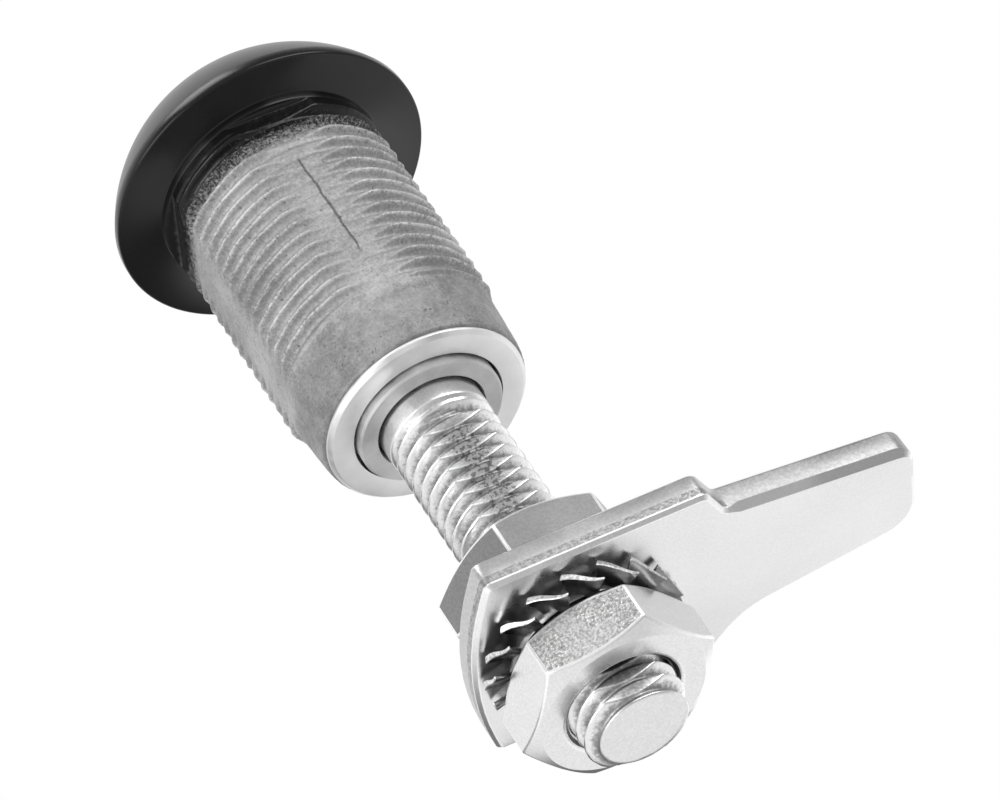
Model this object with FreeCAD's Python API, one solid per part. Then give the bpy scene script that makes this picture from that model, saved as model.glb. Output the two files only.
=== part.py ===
import FreeCAD, Part

import math
import os

from FreeCAD import Vector

# Quarter-turn panel latch of the pull-up kind.
# The axis of the latch is Y, from the head towards the end of the stud. Z is up, and the finger of the cam
# points along -X. The origin lies on the axis, in the plane of the flange's seating face. Millimetres.

# Head and flange
flange_radius = 15.1
flange_edge = 0.8
dome_bulge = 0.0714
crown_land = 2.39
head_height = 8.2
rim_round = 0.25
head_edge_break = 0.25

# Barrel of the housing
barrel_radius = 10.87
barrel_flat_half = 9.8
boss_height = 0.9
thread_end_y = 25.1
barrel_chamfer = 0.55
tail_start_radius = 10.2
tail_end_radius = 9.8
tail_round = 0.35
barrel_length = 31.3
bore_radius = 8.3
front_wall = 4.2

# Running clearances
turn_gap = 0.05
slide_gap = 0.08
pin_gap = 0.1
end_gap = 0.05

# Ring in the end of the barrel
ring_radius = 9.54
ring_thickness = 0.63
ring_chamfer = 0.35
ring_inner_radius = 7.14
ring_skirt = 2.0
stop_tab_angle = 20.0
stop_tab_length = 2.7
stop_margin = 0.5

# Motion
swing_angle = 90.0
draw_angle = 90.0
draw_travel = 5.0

# Driver
driver_head_radius = 7.0
driver_recess = 0.2
driver_edge = 0.3
socket_lead = 0.35
driver_flange = 2.95
socket_across_flats = 8.0
socket_depth = 5.0
socket_floor = 3.5
driver_bore_radius = 5.3
driver_tube_gap = 0.7
socket_turn = 30.0
slot_sections = 9
seal_section_radius = 0.72
seal_groove_width = 1.6
seal_sides = 10

# Guide sleeve
sleeve_inner_radius = 7.0
sleeve_nose_radius = 6.87
sleeve_nose_reach = 0.67
sleeve_nose_chamfer = 0.2
sleeve_web = 4.4
sleeve_hole_radius = 5.2

# Stud and cross pin
stud_radius = 4.89
stud_flat_half = 3.98
stud_end_y = 71.0
stud_neck = 1.7
stud_flat_run_in = 1.3
stud_chamfer = 0.65
pin_radius = 1.5
pin_to_tube_end = 5.5
pin_to_end = 3.0

# Return spring
spring_wire_radius = 0.5
spring_mean_radius = 4.2
spring_turns = 7.0
spring_stations = 16
wire_sides = 8

# Nuts
nut_across_flats = 16.0
nut_thickness = 5.6
nut_chamfer_angle = 30.0
nut_face_radius = 7.55
nut_mouth = 0.55
thread_gap = 0.02
back_nut_y = 51.2
back_nut_turn = 23.5
front_nut_turn = 43.5

# Cam plate
cam_thickness = 3.0
hub_half_width = 10.65
hub_end_x = 7.9
hub_peak_x = 10.85
hub_end_radius = 32.0
hub_front_x = -12.4
step_x = -14.1
step_z = 7.72
finger_tip_x = -31.9
finger_tip_top_z = 5.6
finger_tip_low_x = -32.35
finger_tip_low_z = -3.7
finger_root_x = -15.6
finger_root_z = -6.0
hub_low_x = -11.1
hub_corner = 0.8
step_outer_round = 1.2
step_inner_round = 1.0
tip_top_round = 1.8
tip_low_round = 3.2
root_round = 6.7
low_corner_round = 2.0
finger_bevel = 0.7
cam_edge_roll = 0.45
cam_hole_gap = 0.15

# Toothed lock washer
washer_inner_radius = 5.25
washer_ring_radius = 7.0
washer_tip_radius = 9.0
washer_sheet = 0.9
tooth_count = 17
tooth_root_width = 2.1
tooth_tip_width = 3.45
tooth_twist = 38.0
nut_bite = 0.3

# Places along the axis that follow from the sizes above
driver_front_y = -head_height + driver_recess
shoulder_y = -head_height + front_wall
driver_flange_y = shoulder_y + end_gap
sleeve_front_y = driver_flange_y + driver_flange + end_gap
spring_seat_y = driver_front_y + socket_depth + socket_floor
skirt_y = barrel_length - ring_skirt
sleeve_shoulder_y = skirt_y - end_gap
sleeve_end_y = barrel_length + ring_thickness + sleeve_nose_reach
web_y = sleeve_end_y - sleeve_web
driver_tube_end_y = web_y - driver_tube_gap
pin_rest_y = driver_tube_end_y - pin_to_tube_end
stud_start_y = pin_rest_y - pin_to_end
stud_thread_y = sleeve_end_y + stud_neck
cam_y = back_nut_y + nut_thickness
washer_y = cam_y + cam_thickness
twist = math.radians(tooth_twist)
washer_height = tooth_tip_width * math.sin(twist) + washer_sheet * math.cos(twist)
front_nut_y = washer_y + washer_height - nut_bite
nut_corner_radius = nut_across_flats / math.sqrt(3)
AXIS = Vector(0, 1, 0)
CENTRE = Vector(0, 0, 0)


def rod(radius, y0, y1):
    """A cylinder about the latch's axis, from y0 to y1."""
    return Part.makeCylinder(radius, y1 - y0, Vector(0, y0, 0), AXIS)


def tube(outer, inner, y0, y1):
    """A tube about the latch's axis."""
    return rod(outer, y0, y1).cut(rod(inner, y0 - 1, y1 + 1))


def turn(shape, angle):
    """The shape turned about the latch's axis. A positive angle takes +Z towards +X."""
    copy = shape.copy()
    copy.rotate(CENTRE, AXIS, angle)
    return copy


def at(radius, angle, y):
    """A point at this radius and this angle from +Z towards +X."""
    a = math.radians(angle)
    return Vector(radius * math.sin(a), y, radius * math.cos(a))


def revolve(edges):
    """A solid of revolution about the axis from a closed half profile in the plane z = 0."""
    return Part.Face(Part.Wire(edges)).revolve(CENTRE, AXIS, 360)


def profile(points):
    """The straight edges through (radius, y) points, in order."""
    corners = [Vector(r, y, 0) for r, y in points]
    return [Part.makeLine(a, b) for a, b in zip(corners, corners[1:])]


def sector(outer, inner, y0, y1, start, sweep):
    """A block between two radii, from one angle through a sweep."""
    edges = profile([(inner, y0), (outer, y0), (outer, y1), (inner, y1), (inner, y0)])
    block = Part.Face(Part.Wire(edges)).revolve(CENTRE, AXIS, sweep)
    return turn(block, start - 90)


def hexagon(across_flats, y0, y1, turned):
    """A hexagonal block about the axis, with one corner at the angle turned."""
    corner = across_flats / math.sqrt(3)
    points = [at(corner, turned + 60 * k, y0) for k in range(6)]
    return Part.Face(Part.makePolygon(points + points[:1])).extrude(Vector(0, y1 - y0, 0))


def round_outline(corners):
    """A closed wire in the XZ plane through (x, z, radius) corners, each rounded by its radius."""
    points = [Vector(x, 0, z) for x, z, _ in corners]
    edges = []
    starts, ends = [], []
    for i, (_, _, radius) in enumerate(corners):
        before = (points[i - 1] - points[i]).normalize()
        after = (points[(i + 1) % len(points)] - points[i]).normalize()
        half = before.getAngle(after) / 2
        run = radius / math.tan(half)
        bisector = (before + after).normalize()
        middle = points[i] + bisector * (radius / math.sin(half) - radius)
        starts.append(points[i] + before * run)
        ends.append(points[i] + after * run)
        edges.append(Part.Arc(starts[-1], middle, ends[-1]).toShape())
    joined = []
    for i, arc in enumerate(edges):
        joined += [arc, Part.makeLine(ends[i], starts[(i + 1) % len(starts)])]
    return Part.Wire(joined)


def head_profile():
    """Half section of the housing: bored inside, domed head, flange, barrel and tail outside."""
    hole = driver_head_radius + turn_gap
    crown = Vector(hole + crown_land, -head_height + head_edge_break, 0)
    flat_radius = crown.x - 3 * head_edge_break
    rim = Vector(flange_radius, -flange_edge, 0)
    chord = rim - crown
    outward = Vector(chord.y, -chord.x, 0)
    dome = Part.Arc(crown, crown + chord / 2 + outward * dome_bulge, rim)
    outside = profile([
        (flange_radius, -flange_edge),
        (flange_radius, -rim_round),
        (flange_radius - rim_round, 0),
        (barrel_radius, 0),
        (barrel_radius, thread_end_y - barrel_chamfer),
        (tail_start_radius, thread_end_y),
        (tail_end_radius, barrel_length - tail_round),
        (tail_end_radius - tail_round, barrel_length),
        (bore_radius, barrel_length),
        (bore_radius, shoulder_y),
        (hole, shoulder_y),
        (hole, -head_height),
        (flat_radius, -head_height),
        (crown.x, crown.y),
    ])
    return [dome.toShape()] + outside


def make_housing():
    """The casting, with four flats down the barrel that stop short of the flange."""
    body = revolve(head_profile())
    reach = barrel_length - boss_height + 1
    side = 2 * flange_radius
    for k in range(4):
        block = Part.makeBox(side, reach, side, Vector(-side / 2, boss_height, barrel_flat_half))
        body = body.cut(turn(block, 90 * k))
    return body


def make_end_ring():
    """The ring pressed into the barrel, with a tab inside that stops the sleeve's turn."""
    flange_y = barrel_length + ring_thickness
    body = revolve(profile([
        (ring_inner_radius, skirt_y),
        (bore_radius, skirt_y),
        (bore_radius, barrel_length),
        (ring_radius, barrel_length),
        (ring_radius, flange_y - ring_chamfer),
        (ring_radius - ring_chamfer, flange_y),
        (ring_inner_radius, flange_y),
        (ring_inner_radius, skirt_y),
    ]))
    tab = sector(bore_radius, ring_inner_radius, skirt_y - stop_tab_length, skirt_y,
                 -stop_tab_angle / 2, stop_tab_angle)
    return body.fuse(tab).removeSplitter()


def slot_cutter(angle):
    """The space that the cross pin sweeps through the driver's tube, from one end of its travel."""
    reach = driver_bore_radius / 2
    outer = bore_radius + 1
    mean = (driver_bore_radius + sleeve_inner_radius) / 2
    lead = math.atan2(draw_travel, mean * math.radians(draw_angle))
    half = (pin_radius + pin_gap) / math.cos(lead) + slide_gap / 2
    sections = []
    for k in range(slot_sections):
        share = k / (slot_sections - 1)
        y = pin_rest_y - draw_travel * share
        a = angle - draw_angle * share
        corners = [at(reach, a, y - half), at(outer, a, y - half), at(outer, a, y + half), at(reach, a, y + half)]
        sections.append(Part.makePolygon(corners + corners[:1]))
    cutter = Part.makeLoft(sections, True, False)
    for share in (0, 1):
        a = angle - draw_angle * share
        y = pin_rest_y - draw_travel * share
        end = Part.makeCylinder(half, outer - reach, at(reach, a, y), at(1, a, 0))
        cutter = cutter.fuse(end)
    return cutter


def driver_edges():
    """What the chamfers of the driver's front take away: at its rim, and at the socket's mouth."""
    rim = revolve(profile([
        (driver_head_radius - driver_edge, driver_front_y),
        (driver_head_radius, driver_front_y + driver_edge),
        (driver_head_radius + 1, driver_front_y + driver_edge),
        (driver_head_radius + 1, driver_front_y - 1),
        (driver_head_radius - driver_edge, driver_front_y - 1),
        (driver_head_radius - driver_edge, driver_front_y),
    ]))
    mouth = socket_across_flats / math.sqrt(3) + socket_lead / 2
    return rim.fuse(Part.makeCone(mouth, 0, mouth, Vector(0, driver_front_y, 0), AXIS))


def make_driver():
    """The actuator: front head with a hexagonal socket, flange, and tube with two helical slots."""
    tube_radius = sleeve_inner_radius - slide_gap
    groove_y = (driver_front_y + shoulder_y) / 2 - seal_groove_width / 2
    seat_radius = driver_head_radius - 2 * seal_section_radius + turn_gap - end_gap
    body = rod(driver_head_radius, driver_front_y, driver_flange_y)
    body = body.cut(tube(driver_head_radius + 1, seat_radius, groove_y, groove_y + seal_groove_width))
    body = body.fuse(rod(bore_radius - slide_gap, driver_flange_y, driver_flange_y + driver_flange))
    body = body.fuse(rod(tube_radius, driver_flange_y + driver_flange, driver_tube_end_y))
    body = body.cut(rod(driver_bore_radius, spring_seat_y, driver_tube_end_y + 1))
    body = body.cut(hexagon(socket_across_flats, driver_front_y - 1, driver_front_y + socket_depth, socket_turn))
    body = body.cut(driver_edges())
    for angle in (90, 270):
        body = body.cut(slot_cutter(angle))
    return body.removeSplitter()


def make_driver_seal():
    """The O-ring in the driver's groove."""
    centre_y = (driver_front_y + shoulder_y) / 2
    centre_radius = driver_head_radius - seal_section_radius
    points = []
    for k in range(seal_sides + 1):
        b = math.radians(360 * k / seal_sides)
        points.append((centre_radius + seal_section_radius * math.cos(b), centre_y + seal_section_radius * math.sin(b)))
    return revolve(profile(points))


def make_sleeve():
    """The guide sleeve: a tube with two straight slots, a stop notch and the disc that shows in the ring."""
    outer = bore_radius - slide_gap
    body = revolve(profile([
        (sleeve_inner_radius, sleeve_front_y),
        (outer, sleeve_front_y),
        (outer, sleeve_shoulder_y),
        (sleeve_nose_radius, sleeve_shoulder_y),
        (sleeve_nose_radius, sleeve_end_y - sleeve_nose_chamfer),
        (sleeve_nose_radius - sleeve_nose_chamfer, sleeve_end_y),
        (sleeve_hole_radius, sleeve_end_y),
        (sleeve_hole_radius, web_y),
        (sleeve_inner_radius, web_y),
        (sleeve_inner_radius, sleeve_front_y),
    ]))
    half = pin_radius + pin_gap
    slot = Part.makeBox(2 * outer + 2, draw_travel, 2 * half, Vector(-outer - 1, pin_rest_y - draw_travel, -half))
    for y in (pin_rest_y, pin_rest_y - draw_travel):
        slot = slot.fuse(Part.makeCylinder(half, 2 * outer + 2, Vector(-outer - 1, y, 0), Vector(1, 0, 0)))
    open_angle = swing_angle + stop_tab_angle + 2 * stop_margin
    start = -stop_tab_angle / 2 - stop_margin - swing_angle
    notch = sector(outer + 1, sleeve_nose_radius, skirt_y - stop_tab_length - end_gap, sleeve_shoulder_y + 0.001,
                   start, open_angle)
    return body.cut(slot).cut(notch)


def make_stud():
    """The shaft: plain inner end with the pin's hole, then the threaded length with two flats."""
    body = rod(stud_radius, stud_start_y, stud_end_y)
    end_edges = [e for e in body.Edges if abs(e.CenterOfMass.y - stud_end_y) < 1e-6 and len(e.Vertexes) == 1]
    body = body.makeChamfer(stud_chamfer, end_edges)
    flat_y = stud_thread_y + stud_flat_run_in
    side = 4 * stud_radius
    for k in range(2):
        block = Part.makeBox(side, stud_end_y - flat_y + 1, side, Vector(-side / 2, flat_y, stud_flat_half))
        body = body.cut(turn(block, 180 * k))
    hole = Part.makeCylinder(pin_radius, side, Vector(-side / 2, pin_rest_y, 0), Vector(1, 0, 0))
    return body.cut(hole)


def make_cross_pin():
    """The pin across the stud, which stops just short of the bore's wall."""
    reach = math.sqrt(bore_radius ** 2 - pin_radius ** 2) - pin_gap
    return Part.makeCylinder(pin_radius, 2 * reach, Vector(-reach, pin_rest_y, 0), Vector(1, 0, 0))


def make_return_spring():
    """The compression spring between the driver's floor and the stud's inner end."""
    first = spring_seat_y + spring_wire_radius
    rise = stud_start_y - spring_wire_radius - first
    count = round(spring_turns * spring_stations)
    rings = []
    for k in range(count + 1):
        a = 360 * spring_turns * k / count
        y = first + rise * k / count
        corners = []
        for j in range(wire_sides):
            b = math.radians(360 * (j + 0.5) / wire_sides)
            out = spring_mean_radius + spring_wire_radius * math.cos(b)
            corners.append(at(out, a, y + spring_wire_radius * math.sin(b)))
        rings.append(Part.makePolygon(corners + corners[:1]))
    return Part.makeLoft(rings, True, True)


def make_nut(y0, turned):
    """A jam nut, chamfered on both faces, with a wide mouth at each end of its thread."""
    y1 = y0 + nut_thickness
    rise = (nut_corner_radius - nut_face_radius) * math.tan(math.radians(nut_chamfer_angle))
    body = hexagon(nut_across_flats, y0, y1, turned)
    envelope = revolve(profile([
        (0, y0),
        (nut_face_radius, y0),
        (nut_corner_radius, y0 + rise),
        (nut_corner_radius, y1 - rise),
        (nut_face_radius, y1),
        (0, y1),
        (0, y0),
    ]))
    bore = stud_radius + thread_gap
    hole = revolve(profile([
        (0, y0 - 1),
        (bore + nut_mouth + 1, y0 - 1),
        (bore, y0 + nut_mouth),
        (bore, y1 - nut_mouth),
        (bore + nut_mouth + 1, y1 + 1),
        (0, y1 + 1),
        (0, y0 - 1),
    ]))
    return body.common(envelope).cut(hole)


def finger_top_z(x):
    """Height of the finger's straight upper edge at x."""
    share = (x - step_x) / (finger_tip_x - step_x)
    return step_z + share * (finger_tip_top_z - step_z)


def cam_outline():
    """The stamped outline of the cam: hub with a bowed end, step, and tapering finger."""
    return round_outline([
        (hub_end_x, hub_half_width, hub_corner),
        (hub_front_x, hub_half_width, step_outer_round),
        (step_x, step_z, step_inner_round),
        (finger_tip_x, finger_tip_top_z, tip_top_round),
        (finger_tip_low_x, finger_tip_low_z, tip_low_round),
        (finger_root_x, finger_root_z, root_round),
        (hub_low_x, -hub_half_width, low_corner_round),
        (hub_end_x, -hub_half_width, hub_corner),
        (hub_peak_x, 0, hub_end_radius),
    ])


def make_cam():
    """The cam plate, rolled at its far edge, bevelled along the finger, with a hole that fits the stud's flats."""
    plate = Part.Face(cam_outline()).extrude(Vector(0, cam_thickness, 0))
    far_edges = [e for e in plate.Edges if abs(e.BoundBox.YMin) < 1e-6 and abs(e.BoundBox.YMax) < 1e-6]
    plate = plate.makeChamfer(cam_edge_roll, far_edges)
    start_x = step_x - 2 * step_inner_round
    end_x = finger_tip_x - tip_low_round
    slope = Vector(end_x - start_x, 0, finger_top_z(end_x) - finger_top_z(start_x))
    corner = Vector(start_x, cam_thickness, finger_top_z(start_x))
    edge = [corner, corner - Vector(0, finger_bevel, 0), corner - Vector(0, 0, finger_bevel)]
    outward = [edge[0] + Vector(0, 1, 1), edge[1] + Vector(0, 0, 1), edge[2] + Vector(0, 1, 0)]
    section = [edge[1], outward[1], outward[0], outward[2], edge[2], edge[1]]
    bevel = Part.Face(Part.makePolygon(section)).extrude(slope)
    hole = rod(stud_radius + cam_hole_gap, -1, cam_thickness + 1)
    side = 4 * stud_radius
    flats = Part.makeBox(side, cam_thickness + 4, 2 * (stud_flat_half + cam_hole_gap),
                         Vector(-side / 2, -2, -stud_flat_half - cam_hole_gap))
    plate = plate.cut(bevel).cut(hole.common(flats))
    plate.translate(Vector(0, cam_y, 0))
    return plate


def make_tooth():
    """One tooth: a blade that widens outwards, twisted about the radial line along +Z."""
    root = washer_ring_radius - washer_sheet / 2
    half = washer_sheet / 2
    corners = [
        Vector(-tooth_root_width / 2, -half, root),
        Vector(tooth_root_width / 2, -half, root),
        Vector(tooth_tip_width / 2, -half, washer_tip_radius),
        Vector(-tooth_tip_width / 2, -half, washer_tip_radius),
    ]
    blade = Part.Face(Part.makePolygon(corners + corners[:1])).extrude(Vector(0, washer_sheet, 0))
    blade.rotate(CENTRE, Vector(0, 0, 1), -tooth_twist)
    return blade


def make_lock_washer():
    """The washer: a flat ring with twisted teeth that stand on the cam and are pressed down by the nut."""
    half = washer_sheet / 2
    body = tube(washer_ring_radius, washer_inner_radius, -half, half)
    tooth = make_tooth()
    for k in range(tooth_count):
        body = body.fuse(turn(tooth, 360 * k / tooth_count))
    body.translate(Vector(0, washer_y + washer_height / 2, 0))
    return body.cut(make_nut(front_nut_y, front_nut_turn))


os.makedirs("parts", exist_ok=True)
pieces = {
    "housing": make_housing(),
    "end_ring": make_end_ring(),
    "driver": make_driver(),
    "driver_seal": make_driver_seal(),
    "sleeve": make_sleeve(),
    "stud": make_stud(),
    "cross_pin": make_cross_pin(),
    "return_spring": make_return_spring(),
    "back_nut": make_nut(back_nut_y, back_nut_turn),
    "cam": make_cam(),
    "lock_washer": make_lock_washer(),
    "front_nut": make_nut(front_nut_y, front_nut_turn),
}
for name, shape in pieces.items():
    shape.exportStep(f"parts/{name}.step")
    print(name, shape.ShapeType, len(shape.Solids), shape.isValid(), round(shape.Volume, 1))
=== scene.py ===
"""The looks of a quarter-turn panel latch.

The axis of the latch is Y, from the domed head towards the end of the stud. Z is up, and the finger of the cam
points along -X. Sizes are in millimetres, and become metres when a mesh is made.
"""

from __future__ import annotations

import logging
import math
from dataclasses import asdict, dataclass, fields
from enum import Enum
from typing import Iterable, Sequence

import bmesh
import bpy
from bmesh.types import BMesh
from bpy.types import Material, Object
from mathutils import Matrix, Vector

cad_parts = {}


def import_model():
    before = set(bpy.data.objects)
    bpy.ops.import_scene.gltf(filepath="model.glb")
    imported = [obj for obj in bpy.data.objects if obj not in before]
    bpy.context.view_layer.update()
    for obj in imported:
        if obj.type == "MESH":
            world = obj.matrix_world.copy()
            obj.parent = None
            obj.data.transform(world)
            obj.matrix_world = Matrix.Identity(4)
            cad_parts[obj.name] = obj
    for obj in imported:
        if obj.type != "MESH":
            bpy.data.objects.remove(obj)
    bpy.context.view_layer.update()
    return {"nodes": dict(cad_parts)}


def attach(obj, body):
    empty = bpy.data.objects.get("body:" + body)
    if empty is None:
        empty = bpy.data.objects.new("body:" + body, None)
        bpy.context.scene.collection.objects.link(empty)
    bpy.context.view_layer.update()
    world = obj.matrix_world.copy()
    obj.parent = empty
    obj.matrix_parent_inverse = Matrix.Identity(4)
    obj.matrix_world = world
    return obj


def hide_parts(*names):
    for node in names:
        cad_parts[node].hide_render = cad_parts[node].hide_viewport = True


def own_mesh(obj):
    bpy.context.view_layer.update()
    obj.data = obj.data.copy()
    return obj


MM = 0.001
TAU = 2 * math.pi
MERGE = 1e-5
FAR = 99.0
SEAM_START, SEAM_END, SEAM_HALF, SEAM_WOBBLE = (6.0, 8.0), (19.0, 21.5), 0.16, 0.25
OUTER = "outer"
LOG = logging.getLogger("latch")

Point = tuple[float, float]
Place = tuple[float, float, float]
Rings = list[list[bmesh.types.BMVert]]


class Body(Enum):
    """The bodies that the pieces ride on."""

    HOUSING = "housing"
    DRIVER = "driver"
    STUD = "stud"


class Slot(Enum):
    """The record's material slots that the pieces made here name."""

    PAINT = "housing"
    ZINC = "bare_zinc"
    BRIGHT = "bright_steel"
    STUD = "stud"
    SPRING = "spring_steel"
    NUTS = "nuts"
    CAM = "cam"
    WASHER = "washer"


# Small geometry helpers


def polar(radius: float, angle: float, y: float) -> Vector:
    """A point at this radius and height along the axis, and at this angle in degrees from +Z towards +X."""
    a = math.radians(angle)
    return Vector((radius * math.sin(a), y, radius * math.cos(a)))


def quarter(steps: int) -> list[Point]:
    """Points that round a corner by a radius of 1, as distances inside its two sides, from (0, 1) to (1, 0)."""
    angles = [math.pi / 2 * k / steps for k in range(steps + 1)]
    return [(1 - math.cos(a), 1 - math.sin(a)) for a in angles]


def rounded(corners: Sequence[Place], steps: int) -> list[Point]:
    """The points of a closed outline whose corners are rounded.

    Args:
        corners: Each corner's two coordinates and its radius.
        steps: Points less one on each rounded corner.

    Returns:
        The outline's points, in the order of the corners.
    """
    points: list[Point] = []
    count = len(corners)
    for i, (px, py, radius) in enumerate(corners):
        corner = Vector((px, py))
        if radius <= 0:
            points.append((px, py))
            continue
        before = (Vector(corners[i - 1][:2]) - corner).normalized()
        after = (Vector(corners[(i + 1) % count][:2]) - corner).normalized()
        half = before.angle(after) / 2
        centre = corner + (before + after).normalized() * (radius / math.sin(half))
        first = corner + before * (radius / math.tan(half)) - centre
        last = corner + after * (radius / math.tan(half)) - centre
        sweep = first.angle_signed(last)
        start = math.atan2(first.y, first.x)
        for k in range(steps + 1):
            a = start - sweep * k / steps
            points.append((centre.x + radius * math.cos(a), centre.y + radius * math.sin(a)))
    return points


def skin(bm: BMesh, rings: Rings, closed: bool = False) -> list[tuple[int, int, bmesh.types.BMFace]]:
    """Makes the faces between rings of points.

    Args:
        bm: The mesh that the points are in.
        rings: The rings, with equally many points each.
        closed: Whether the last ring also joins the first.

    Returns:
        Each face, after its row and its place in the row.
    """
    made = []
    for row, (lower, upper) in enumerate(zip(rings, rings[1:] + rings[:1] if closed else rings[1:])):
        for k in range(len(lower)):
            n = (k + 1) % len(lower)
            corners = list(dict.fromkeys((lower[k], lower[n], upper[n], upper[k])))
            if len(corners) > 2:
                made.append((row, k, bm.faces.new(corners)))
    return made


def clean(bm: BMesh) -> None:
    """Merges doubles and turns every face outwards."""
    bmesh.ops.remove_doubles(bm, verts=bm.verts, dist=MERGE)
    bmesh.ops.recalc_face_normals(bm, faces=bm.faces)


def lathe(outline: Sequence[Point], segments: int) -> BMesh:
    """A closed solid of revolution about the latch's axis.

    Args:
        outline: The closed half section as (radius, y) points.
        segments: Facets round the axis.

    Returns:
        The mesh, in millimetres.
    """
    bm = bmesh.new()
    rings = []
    for radius, y in outline:
        if radius < MERGE:
            rings.append([bm.verts.new((0, y, 0))] * segments)
        else:
            rings.append([bm.verts.new(polar(radius, 360 * k / segments, y)) for k in range(segments)])
    skin(bm, rings, True)
    clean(bm)
    return bm


def mark_outer(bm: BMesh, radius: float) -> None:
    """Marks the points that the thread tree may move.

    Args:
        bm: The mesh, in millimetres.
        radius: They lie beyond this radius.
    """
    mark = bm.verts.layers.float.new(OUTER)
    for vert in bm.verts:
        vert[mark] = 1.0 if math.hypot(vert.co.x, vert.co.z) > radius else 0.0


def link(name: str, data: bpy.types.ID) -> Object:
    """Puts data into the scene.

    Args:
        name: The object's name.
        data: Its mesh, camera or light.

    Returns:
        The object, at the origin.
    """
    obj = bpy.data.objects.new(name, data)
    bpy.context.scene.collection.objects.link(obj)
    return obj


def mesh_object(name: str, bm: BMesh) -> Object:
    """Turns a mesh into an object, with no change of scale.

    Args:
        name: The object's name.
        bm: The mesh, which is freed.

    Returns:
        The linked object.
    """
    mesh = bpy.data.meshes.new(name)
    bm.to_mesh(mesh)
    bm.free()
    return link(name, mesh)


def make_object(name: str, bm: BMesh, sharp: float) -> Object:
    """Turns a mesh in millimetres into an object in metres, at the origin.

    Args:
        name: The piece's name.
        bm: The mesh, which is freed.
        sharp: Edges with a larger angle than this, in degrees, stay sharp.

    Returns:
        The linked object.
    """
    for edge in bm.edges:
        edge.smooth = len(edge.link_faces) != 2 or edge.calc_face_angle(0) < math.radians(sharp)
    for face in bm.faces:
        face.smooth = True
    bmesh.ops.scale(bm, vec=(MM, MM, MM), verts=bm.verts)
    return mesh_object(name, bm)


def apply_modifiers(obj: Object) -> Object:
    """Makes the object's evaluated shape its plain mesh and removes its modifiers.

    Args:
        obj: The object.

    Returns:
        The same object.
    """
    depsgraph = bpy.context.evaluated_depsgraph_get()
    mesh = bpy.data.meshes.new_from_object(obj.evaluated_get(depsgraph), depsgraph=depsgraph)
    mesh.name = obj.name
    obj.modifiers.clear()
    obj.data = mesh
    return obj


def bevel(obj: Object, width: float, segments: int, angle: float, material: int = -1) -> Object:
    """Rounds the object's sharp edges.

    Args:
        obj: The object.
        width: Width of the rounding in millimetres.
        segments: Facets across it.
        angle: Edges with a larger angle than this, in degrees, are rounded.
        material: Index of the rounding's material, or -1 for its neighbour's.

    Returns:
        The same object.
    """
    modifier = obj.modifiers.new("arris", "BEVEL")
    modifier.width = width * MM
    modifier.segments = segments
    modifier.limit_method = "ANGLE"
    modifier.angle_limit = math.radians(angle)
    modifier.material = material
    apply_modifiers(obj)
    for polygon in obj.data.polygons:
        polygon.use_smooth = True
    return obj


# Node trees


class Value:
    """A socket of a node tree, which takes part in plain arithmetic."""

    def __init__(self, tree: Tree, socket: bpy.types.NodeSocket) -> None:
        """Keeps the socket and its tree."""
        self.tree, self.socket = tree, socket

    def __add__(self, other: Number) -> Value:
        """The sum."""
        return self.tree.math("ADD", self, other)

    def __sub__(self, other: Number) -> Value:
        """The difference."""
        return self.tree.math("SUBTRACT", self, other)

    def __rsub__(self, other: float) -> Value:
        """What is left of a number."""
        return self.tree.math("SUBTRACT", other, self)

    def __mul__(self, other: Number) -> Value:
        """The product."""
        return self.tree.math("MULTIPLY", self, other)

    def __truediv__(self, other: Number) -> Value:
        """The quotient."""
        return self.tree.math("DIVIDE", self, other)

    def __abs__(self) -> Value:
        """The value without its sign."""
        return self.tree.math("ABSOLUTE", self)


Number = float | Value


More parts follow.
